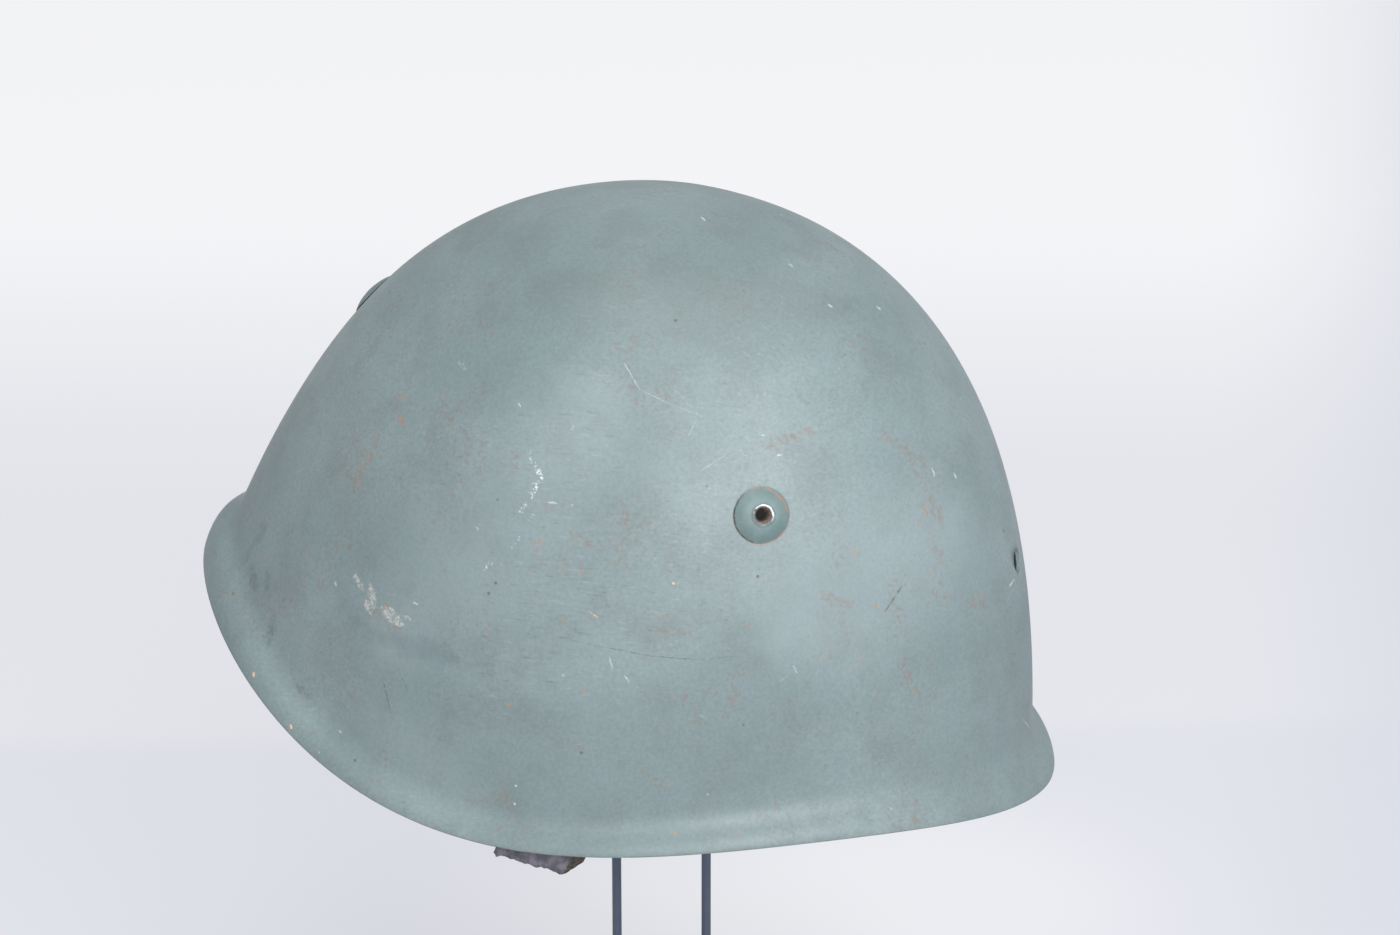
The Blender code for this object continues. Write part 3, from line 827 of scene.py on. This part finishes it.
def build_dome(bm, sizes):
    """The outer skin in the helmet's own axes: rings extruded from a fan round the crown."""
    turn = bm.verts.layers.float.new("turn")
    bmesh.ops.create_circle(bm, cap_ends=True, cap_tris=True, segments=SHELL_SEGMENTS, radius=MM)
    crown = min(bm.verts, key=lambda v: v.co.length)
    columns = {}
    for vert in bm.verts:
        if vert is not crown:
            vert[turn] = math.atan2(vert.co.x, -vert.co.y)
            columns[vert[turn]] = Profile(vert[turn]).rounded(sizes.bend_radius, *SHELL_RINGS)
            vert.co = columns[vert[turn]][0]
    crown.co = (0, 0, CROWN_HEIGHT)
    edges = [e for e in bm.edges if e.is_boundary]
    for level in range(1, sum(SHELL_RINGS)):
        made = bmesh.ops.extrude_edge_only(bm, edges=edges)["geom"]
        for vert in (g for g in made if isinstance(g, bmesh.types.BMVert)):
            vert.co = columns[vert[turn]][level]
        edges = [g for g in made if isinstance(g, bmesh.types.BMEdge) and g.is_boundary]
    bmesh.ops.recalc_face_normals(bm, faces=bm.faces)
    if crown.link_faces[0].normal.z < 0:
        bmesh.ops.reverse_faces(bm, faces=bm.faces)
    bm.normal_update()
    for vert in bm.verts:
        swell = (noise.noise(vert.co / sizes.wave_width) - 1) / 2
        vert.co += vert.normal * (swell * sizes.wave_depth)
    bmesh.ops.transform(bm, matrix=HELMET_REST, verts=bm.verts)
    bm.normal_update()


def press_dent(bm, camera, sizes):
    """Push the charted dent into the skin, deepest along its middle line."""
    tree = BVHTree.FromBMesh(bm)
    start, normal = camera.on_shell(tree, DENT.x, DENT.y)
    end, _ = camera.on_shell(tree, DENT.to_x, DENT.to_y)
    along = end - start
    width = DENT.width * (start - camera.spot).length / camera.pixels
    for vert in bm.verts:
        part = min(max((vert.co - start).dot(along) / along.length_squared, 0), 1)
        reach = (vert.co - start - along * part).length / width
        if reach < 1:
            vert.co -= normal * (sizes.dent_depth * (1 - reach ** 2) ** 2)


def cut_holes(piece, holes):
    """Cut holes, given as vents with a radius each, through a finished piece."""
    bm = bmesh.new()
    for vent, radius in holes:
        middle = vent_frame(vent) @ Matrix.Translation((0, 0, PIN_SHIFT))
        bmesh.ops.create_cone(bm, cap_ends=True, segments=RIVET_SEGMENTS, radius1=radius,
                              radius2=radius, depth=PIN_LENGTH, matrix=middle)
    pins = new_object("vent_pins", bm)
    cut = piece.modifiers.new("vents", "BOOLEAN")
    cut.operation, cut.object = "DIFFERENCE", pins
    apply_modifiers(piece)
    bpy.data.objects.remove(pins)


# Rivets

def rivet_profile(sizes, grip):
    """A hollow rivet: domed head, rolled lip round the vent, tube and clenched inner end."""
    lip, head, height = sizes.lip_radius, sizes.head_radius, sizes.head_height
    inner, rise = lip + DOME_FOOT, height - HEAD_BORDER - DOME_DROP
    quarter = math.pi / 2 / HEAD_STEPS
    dome = [(head + (inner - head) * k / HEAD_STEPS, HEAD_BORDER + rise * math.sin(quarter * k))
            for k in range(HEAD_STEPS + 1)]
    roll = [(lip - LIP_INSET + LIP_CURL * math.cos(a), height + LIP_CURL * (math.sin(a) - 1))
            for a in map(math.radians, range(40, 201, 20))]
    return dome + roll + [
        (sizes.vent_radius, height - LIP_THROAT),
        (sizes.vent_radius, -grip - CLENCH),
        (sizes.tube_radius, -grip - CLENCH - CLENCH_DOME),
        (sizes.clench_radius, -grip - CLENCH),
        (sizes.clench_radius, -grip),
        (sizes.tube_radius, -grip),
        (sizes.tube_radius, GAP),
        (head - CHAMFER_IN, GAP),
        (head, GAP + CHAMFER_UP),
    ]


def build_rivet(bm, sizes, vent, strap):
    """One rivet on the shell, its faces sorted into painted head, bare lip and rusty tube."""
    grip = SHEET + SHEET_GAP
    if vent.holds_strap:
        grip += strap.thickness + SHEET_GAP
    turned(bm, rivet_profile(sizes, grip), RIVET_SEGMENTS)
    tube_reach, lip_reach = sizes.vent_radius + 0.25 * MM, sizes.lip_radius + 0.15 * MM
    lip_foot = 1.0 * MM
    for face in bm.faces:
        middle = face.calc_center_median()
        radius = middle.xy.length
        if radius < tube_reach:
            face.material_index = 2
        elif radius < lip_reach and middle.z > lip_foot:
            face.material_index = 1
    if vent.name == "rivet_front":
        for vert in bm.verts:
            vert.co.z *= sizes.front_height if vert.co.z > 0 else 1.0
    seat_head(bm, sizes, vent)
    bmesh.ops.transform(bm, matrix=vent_frame(vent), verts=bm.verts)


def seat_head(bm, sizes, vent):
    """Press the head's skirt to the sheet's curve, as setting the rivet does."""
    skin = bmesh.new()
    bmesh.ops.create_grid(skin, x_segments=16, y_segments=16, size=1.5 * sizes.head_radius)
    to_rivet = shell_frame(vent.angle, vent.down).inverted()
    for vert in skin.verts:
        angle = vent.angle + math.degrees(vert.co.x / PATCH_ROUND)
        down = vent.down + vert.co.y / PATCH_DOWN
        vert.co = to_rivet @ Profile(math.radians(angle)).point(down)
    tree = BVHTree.FromBMesh(skin)
    skin.free()
    for vert in bm.verts:
        radius = vert.co.xy.length
        if vert.co.z > -LEVEL and radius > sizes.lip_radius:
            below, _, _, _ = tree.ray_cast((vert.co.x, vert.co.y, PATCH_ABOVE), (0, 0, -1))
            part = (radius - sizes.lip_radius) / (sizes.head_radius - sizes.lip_radius)
            vert.co.z += (below.z if below else 0.0) * min(part, 1) - HEAD_SINK * part


# Strap stub

def strap_path(strap, along):
    """Middle of the strap, its outward normal and its direction, 0 at the rivet, 1 at the end."""
    rivet = next((v.angle, v.down) for v in VENTS if v.holds_strap)

    def middle(s):
        angle, down = ((1 - s) ** 2 * a + 2 * s * (1 - s) * b + s * s * c
                       for a, b, c in zip(rivet, STRAP_BEND, STRAP_END))
        outside = shell_frame(angle, down)
        normal = outside.to_3x3().col[2]
        depth = SHEET + SHEET_GAP + strap.thickness / 2
        return outside.translation - normal * depth, normal

    here, normal = middle(along)
    heading = (middle(along + 0.01)[0] - middle(along - 0.01)[0]).normalized()
    return here, normal, heading


def build_strap(bm, strap):
    """A strip along the inside of the wall, torn off below, with a torn corner folded inwards."""
    uv = bm.loops.layers.uv.new("strap")
    bmesh.ops.create_grid(bm, x_segments=STRAP_GRID[0], y_segments=STRAP_GRID[1], size=1.0)
    half_width = strap.width / 2
    stops = [strap_path(strap, k / STRAP_STOPS)[0] for k in range(STRAP_STOPS + 1)]
    whole = sum((b - a).length for a, b in zip(stops, stops[1:]))
    for vert in bm.verts:
        aside = (vert.co.x + 1) / 2 * (2 + FOLD_SHARE) - 1
        part = (vert.co.y + 1) / 2
        for loop in vert.link_loops:
            loop[uv].uv = (aside, part)
        flat, beyond = min(aside, 1), max(aside - 1, 0)
        torn = strap.raggedness * sum(weight * noise.noise(Vector((aside * pace, spot, 0)))
                                      for pace, spot, weight in TEARS)
        torn += NUB_LENGTH * math.exp(-((aside - NUB_SHARE) / NUB_WIDTH) ** 2)
        torn -= strap.slant * flat + strap.fold_rise * beyond / FOLD_SHARE
        along = part * (1 + torn / whole * part ** 6) - STRAP_ABOVE_RIVET * (1 - part)
        here, normal, heading = strap_path(strap, along)
        side = normal.cross(heading).normalized()
        opened = min(max((part - FOLD_START) / FOLD_RUN, 0), 1)
        opened = opened ** 2 * (3 - 2 * opened)
        beyond *= half_width * (FOLD_LEAST + (1 - FOLD_LEAST) * opened)
        across = flat * half_width + beyond * math.cos(strap.fold_angle)
        fall = flat ** 2 * half_width ** 2 / (2 * WALL_RADIUS)
        vert.co = here + side * across - normal * (fall + beyond * math.sin(strap.fold_angle))
    bmesh.ops.recalc_face_normals(bm, faces=bm.faces)
    outward = strap_path(strap, 0.5)[1]
    if sum(f.normal.dot(outward) for f in bm.faces) < 0:
        bmesh.ops.reverse_faces(bm, faces=bm.faces)
    bmesh.ops.transform(bm, matrix=HELMET_REST, verts=bm.verts)


# Stand

def build_wire(bm, stand):
    """The bent wire: up one leg, over the arch under the crown and down the other."""
    bend = stand.leg_spacing / 2
    low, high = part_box("stand_wire")
    top = high.z - stand.wire_radius - bend
    bmesh.ops.create_circle(bm, cap_ends=True, segments=WIRE_SEGMENTS, radius=stand.wire_radius,
                            matrix=Matrix.Translation((0, -bend, low.z)))
    end = next(iter(bm.faces))
    rise, middle = Matrix.Translation((0, 0, top - low.z)), Matrix.Translation((0, 0, top))
    turn = middle @ Matrix.Rotation(-math.pi / ARCH_STEPS, 4, "X") @ middle.inverted()
    # The end's edges go in with it, so that no face is left behind inside the wire
    for move in (rise, *[turn] * ARCH_STEPS, rise.inverted()):
        made = bmesh.ops.extrude_face_region(bm, geom=[end, *end.edges, *end.verts])["geom"]
        end = next(g for g in made if isinstance(g, bmesh.types.BMFace))
        bmesh.ops.transform(bm, matrix=move,
                            verts=[g for g in made if isinstance(g, bmesh.types.BMVert)])
    bmesh.ops.recalc_face_normals(bm, faces=bm.faces)


def build_foot(bm, stand):
    """A round plate with a rounded upper edge and a fine rounded lower one."""
    bmesh.ops.create_cone(bm, cap_ends=True, segments=FOOT_SEGMENTS, radius1=stand.foot_radius,
                          radius2=stand.foot_radius, depth=stand.foot_thickness,
                          matrix=Matrix.Translation((0, 0, stand.foot_thickness / 2)))
    for is_upper, width in ((True, FOOT_BEVEL), (False, FOOT_SOLE_BEVEL)):
        rim = [e for e in bm.edges if len({round(v.co.z, 6) for v in e.verts}) == 1
               and (e.verts[0].co.z > stand.foot_thickness / 2) == is_upper]
        bmesh.ops.bevel(bm, geom=rim, offset=width, offset_type="OFFSET", segments=4,
                        profile=0.5, affect="EDGES", material=-1)


# Stage

def place_aimed(name, data, place, target):
    """Put a lamp or a camera at a place, turned towards its target."""
    item = bpy.data.objects.new(name, data)
    item.location = place
    item.rotation_euler = (target - place).to_track_quat("-Z", "Y").to_euler()
    bpy.context.scene.collection.objects.link(item)
    return item


def add_lamp(name, place, target, size, power, tint):
    """A soft square lamp."""
    lamp = bpy.data.lights.new(name, "AREA")
    lamp.size, lamp.energy, lamp.color = size, power, tint
    place_aimed(name, lamp, place, target)


# Settings

class HelmetPaint(bpy.types.PropertyGroup):
    """Colours of the worn field paint."""

    colour: colour("Paint", "Dull grey-green of the sound paint", "#6f7f80")
    faded_colour: colour("Faded paint", "Paler chalked paint", "#7b8a8b")
    # Grime in the paint's clouds, and also the colour of the painted shade
    grime_and_shade_colour: colour("Grime", "Brownish grey dirt in the paint", "#5c6562")
    # Colour of the painted shade along the dent
    dent_shade_colour: colour("Bruise", "Bluish shade where the sheet is dented", "#3f4c54")
    rust_colour: colour("Rust", "Brown rust that works through", "#7d6454")
    fresh_rust_colour: colour("Fresh rust", "Orange rust in chips", "#a8714f")
    chip_colour: colour("Chips", "Dark metal in chips and scratches", "#272c2d")
    scratch_colour: colour("Scratches", "Pale bruised paint in scratches", "#b9bfbf")
    scuff_colour: colour("Scuffs", "White crumbs of crushed paint", "#e6e9ea")
    primer_colour: colour("Primer", "Pale primer that shows where the paint is chipped", "#c2bbb3")
    peach_colour: colour("Bright rust", "Bright light rust in pinholes", "#dcae8c")
    # Wiped hairlines, and also the colour of the painted sheen
    wipe_and_sheen_colour: colour("Haze", "Pale haze where the paint is rubbed", "#a3b0b3")
    inside_colour: colour("Inside", "Darkened paint inside the shell", "#3a4242")
    sweat_colour: colour("Sweat and dust", "Dark stains inside the shell", "#292a28")
    # Colour of the painted shadow, with some dirt, in the gap round a rivet head
    shadow_colour: colour("Rivet gap", "Dirt in the gap round a rivet head", "#3a322c")
    edge_colour: colour("Sheared edge", "Dull dark steel of the cut edge", "#66666c")
    head_colour: colour("Rivet heads", "Greener, darker paint of the rivet heads", "#5b7170")
    roughness: share("Roughness", "Roughness of the paint film", 0.48)


class HelmetShell(bpy.types.PropertyGroup):
    """Form of the steel shell beyond its main sizes."""

    bend_radius: length("Bend radius", "Inner radius of the fold where the rim starts", 4.0)
    wave_width: length("Wave width", "Width of the gentle waves left by the press", 30.0)
    wave_depth: length("Wave depth", "Depth of those waves", 0.15)
    dent_depth: length("Dent depth", "Depth of the dent on the left side", 0.5)
    hole_radius: length("Hole radius", "Radius of the holes that the rivets go through", 3.1)
    rear_hole_radius: length("Rear hole radius", "Radius of the bare vent hole", 3.8)


class HelmetRivets(bpy.types.PropertyGroup):
    """Sizes and finish of the hollow vent rivets."""

    head_radius: length("Head radius", "Radius of the domed head", 8.2)
    head_height: length("Head height", "Height of the head over the shell", 2.3)
    lip_radius: length("Lip radius", "Radius of the rolled lip round the vent", 3.3)
    vent_radius: length("Vent radius", "Radius of the hole through the rivet", 2.0)
    tube_radius: length("Tube radius", "Outer radius of the tube", 2.7)
    clench_radius: length("Clench radius", "Radius of the clenched inner end", 4.4)
    lip_colour: colour("Lip", "Bright rubbed steel of the lip", "#d6d8da")
    dull_lip_colour: colour("Dull lip", "Thin paint left on the lip", "#626c6b")
    front_height: share("Front height", "How high the front head stands against the others", 0.72)
    tarnish_colour: colour("Tarnish", "Brown tarnish on the bare steel", "#4c4039")
    tube_colour: colour("Tube rust", "Faint brown rust in the tube", "#8d7668")


class HelmetStrap(bpy.types.PropertyGroup):
    """Sizes and colours of the chin strap stub."""

    width: length("Width", "Width of the strap", 21.0)
    thickness: length("Thickness", "Thickness of the leather", 2.0)
    raggedness: length("Raggedness", "How unevenly the end is torn", 0.7)
    slant: length("Slant", "How much longer the front edge is torn than the rear one", 1.8)
    fold_rise: length("Fold rise", "How much shorter the folded corner is", 4.5)
    fold_angle: number("Fold angle", "How far the corner folds in", math.radians(42),
                       subtype="ANGLE", max=1.5)
    grain_colour: colour("Grain side", "Dry grey grain side", "#4e4e57")
    dust_colour: colour("Dust", "Dust in the grain", "#716f78")
    chip_colour: colour("Chips", "Pinkish chips of the grain", "#a58f84")
    flesh_colour: colour("Flesh side", "Dark brown flesh side", "#27221f")
    torn_colour: colour("Torn fibres", "Lighter loose fibres", "#544a42")


class HelmetStand(bpy.types.PropertyGroup):
    """Sizes and colours of the display stand."""

    wire_radius: length("Wire radius", "Radius of the bent wire", 1.5)
    leg_spacing: length("Leg spacing", "Distance between the two legs", 30.0)
    foot_radius: length("Foot radius", "Radius of the foot plate", 80.0)
    foot_thickness: length("Foot thickness", "Thickness of the foot plate", 6.0)
    colour: colour("Enamel", "Dark blue-grey enamel", "#4a5464")
    rubbed_colour: colour("Rubbed enamel", "The same where it is rubbed", "#566072")


class HelmetStage(bpy.types.PropertyGroup):
    """Camera, lights and floor."""

    camera_place: position("Camera", "Where the camera stands", (1.1777, 0.3609, 0.6215))
    camera_target: position("Target", "Where the camera looks", (-0.0032, 0.0120, 0.2047))
    lens: number("Lens", "Focal length in mm on a 36 mm wide sensor", 107.8, min=1.0)
    key_power: number("Key light", "Power of the large soft key light", 38.0, unit="POWER")
    top_power: number("Top light", "Power of the overhead light", 10.0, unit="POWER")
    sky_strength: number("Surrounding light", "Strength of the white room", 0.75)
    sky_colour: colour("Room", "Colour of the white room round the stage", "#eef1f6")
    # Middle of the painted pool of light beside the foot
    painted_pool_place: position("Lit patch", "Middle of the brighter patch beside the foot",
                        (-0.136, 0.022, 0.0))
    # Strength of the board's painted glow: it shines though no lamp is under it
    painted_floor_glow: number("Floor glow", "Light from below the board", 1.0)
    floor_colour: colour("Table", "Board that the object stands on", "#dedfe6")
    wall_colour: colour("Back", "Board behind the table's end", "#e2e3e8")
    # Painted light: the board's brightening towards the back, and the painted pool beside the foot
    painted_light_colour: colour("Far back", "Brightest part at the back", "#f6f6f8")
    side_colour: colour("Side", "Dimmer part on the right", "#d6d8e2")


# Operators

class HELMET_OT_shell(bpy.types.Operator):
    """Build the pressed steel shell with its worn paint"""

    bl_idname = "helmet.shell"
    bl_label = "Shell"

    def execute(self, context):
        scene = context.scene
        sizes, paint, camera = scene.helmet_shell, scene.helmet_paint, Camera(scene.helmet_stage)
        bm = bmesh.new()
        build_dome(bm, sizes)
        press_dent(bm, camera, sizes)
        materials = (field_paint(paint, camera), inner_paint(paint), sheared_edge(paint))
        piece = finish_piece("steel_shell", bm, materials, "shell", 50.0)
        sheet = piece.modifiers.new("sheet", "SOLIDIFY")
        sheet.thickness, sheet.offset, sheet.use_even_offset = SHEET, -1.0, True
        sheet.material_offset, sheet.material_offset_rim = 1, 2
        soften = piece.modifiers.new("edge", "BEVEL")
        soften.width, soften.segments = EDGE_BEVEL, 2
        soften.limit_method, soften.angle_limit = "ANGLE", math.radians(60)
        soften.material = 2
        cut_holes(piece, [(vent, sizes.hole_radius) for vent in VENTS]
                  + [(REAR_VENT, sizes.rear_hole_radius)])
        return {"FINISHED"}


class HELMET_OT_rivets(bpy.types.Operator):
    """Turn the three hollow vent rivets"""

    bl_idname = "helmet.rivets"
    bl_label = "Vent rivets"

    def execute(self, context):
        scene = context.scene
        rivets = scene.helmet_rivets
        camera = Camera(scene.helmet_stage)
        materials = (rivet_paint(scene.helmet_paint, camera), bare_lip(rivets, camera),
                     rusty_tube(rivets))
        for vent in VENTS:
            bm = bmesh.new()
            build_rivet(bm, rivets, vent, scene.helmet_strap)
            finish_piece("vent_" + vent.name, bm, materials, vent.name, 50.0)
        return {"FINISHED"}


class HELMET_OT_strap(bpy.types.Operator):
    """Build the torn leather stub that the left rivet holds"""

    bl_idname = "helmet.strap"
    bl_label = "Strap stub"

    def execute(self, context):
        scene = context.scene
        strap = scene.helmet_strap
        bm = bmesh.new()
        build_strap(bm, strap)
        piece = finish_piece("torn_strap_stub", bm, (old_leather(strap), torn_leather(strap)),
                             "chin_strap_stub")
        leather = piece.modifiers.new("leather", "SOLIDIFY")
        leather.thickness, leather.offset = strap.thickness, 0.0
        leather.material_offset, leather.material_offset_rim = 1, 1
        cut_holes(piece, [(vent, scene.helmet_shell.hole_radius)
                          for vent in VENTS if vent.holds_strap])
        return {"FINISHED"}


class HELMET_OT_stand(bpy.types.Operator):
    """Build the bent wire and the foot plate of the stand"""

    bl_idname = "helmet.stand"
    bl_label = "Stand"

    def execute(self, context):
        stand = context.scene.helmet_stand
        enamel = stand_enamel(stand)
        for name, node_name, build in (("bent_wire", "stand_wire", build_wire),
                                       ("foot_plate", "stand_foot", build_foot)):
            bm = bmesh.new()
            build(bm, stand)
            finish_piece(name, bm, (enamel,), node_name)
        return {"FINISHED"}


class HELMET_OT_stage(bpy.types.Operator):
    """Set up the floor, the soft lights and the photograph's camera"""

    bl_idname = "helmet.stage"
    bl_label = "Stage"

    def execute(self, context):
        scene = context.scene
        stage = scene.helmet_stage
        bm = bmesh.new()
        bmesh.ops.create_grid(bm, x_segments=1, y_segments=1, size=FLOOR_HALF)
        new_object("floor", bm, pale_floor(stage))

        place, target = Vector(stage.camera_place), Vector(stage.camera_target)
        camera = bpy.data.cameras.new("photo_camera")
        camera.lens, camera.sensor_width, camera.clip_end = stage.lens, SENSOR_WIDTH, VIEW_END
        scene.camera = place_aimed("photo_camera", camera, place, target)

        back = (place - target).normalized()
        right = Vector((0, 0, 1)).cross(back).normalized()
        key = (back + right * KEY_ASIDE + Vector((0, 0, KEY_RAISE))).normalized() * KEY_AWAY
        add_lamp("key", target + key, target, KEY_SIZE, stage.key_power, (1.0, 1.0, 1.0))
        add_lamp("top", target + Vector(TOP_PLACE), target, TOP_SIZE, stage.top_power,
                 (0.98, 0.99, 1.0))
        world = bpy.data.worlds.new("white_room")
        world.use_nodes = True
        set_inputs(world.node_tree.nodes["Background"],
                   {"Color": stage.sky_colour, "Strength": stage.sky_strength})
        scene.world = world
        scene.view_settings.view_transform = "Standard"
        return {"FINISHED"}


class HELMET_PT_panel(bpy.types.Panel):
    """Sidebar panel with the settings and operators of the helmet"""

    bl_label = "Worn steel helmet"
    bl_idname = "HELMET_PT_panel"
    bl_space_type = "VIEW_3D"
    bl_region_type = "UI"
    bl_category = "Helmet"

    def draw(self, context):
        layout = self.layout
        for operator, groups in STEPS.items():
            layout.operator(operator)
            box = layout.box()
            for group in groups:
                settings = getattr(context.scene, group)
                for name in settings.bl_rna.properties.keys():
                    if name not in ("rna_type", "name"):
                        box.prop(settings, name)


STEPS = {
    "helmet.shell": ("helmet_shell", "helmet_paint"),
    "helmet.rivets": ("helmet_rivets",),
    "helmet.strap": ("helmet_strap",),
    "helmet.stand": ("helmet_stand",),
    "helmet.stage": ("helmet_stage",),
}
GROUPS = {
    "helmet_paint": HelmetPaint, "helmet_shell": HelmetShell, "helmet_rivets": HelmetRivets,
    "helmet_strap": HelmetStrap, "helmet_stand": HelmetStand, "helmet_stage": HelmetStage,
}
OPERATORS = (HELMET_OT_shell, HELMET_OT_rivets, HELMET_OT_strap, HELMET_OT_stand,
             HELMET_OT_stage)


def register():
    for name, group in GROUPS.items():
        bpy.utils.register_class(group)
        setattr(bpy.types.Scene, name, PointerProperty(type=group))
    for item in (*OPERATORS, HELMET_PT_panel):
        bpy.utils.register_class(item)


def unregister():
    for item in (HELMET_PT_panel, *reversed(OPERATORS)):
        bpy.utils.unregister_class(item)
    for name, group in reversed(GROUPS.items()):
        delattr(bpy.types.Scene, name)
        bpy.utils.unregister_class(group)


def main():
    register()
    for step in STEPS:
        operator = step.partition(".")[2]
        getattr(bpy.ops.helmet, operator)()


if __name__ == "__main__":
    main()
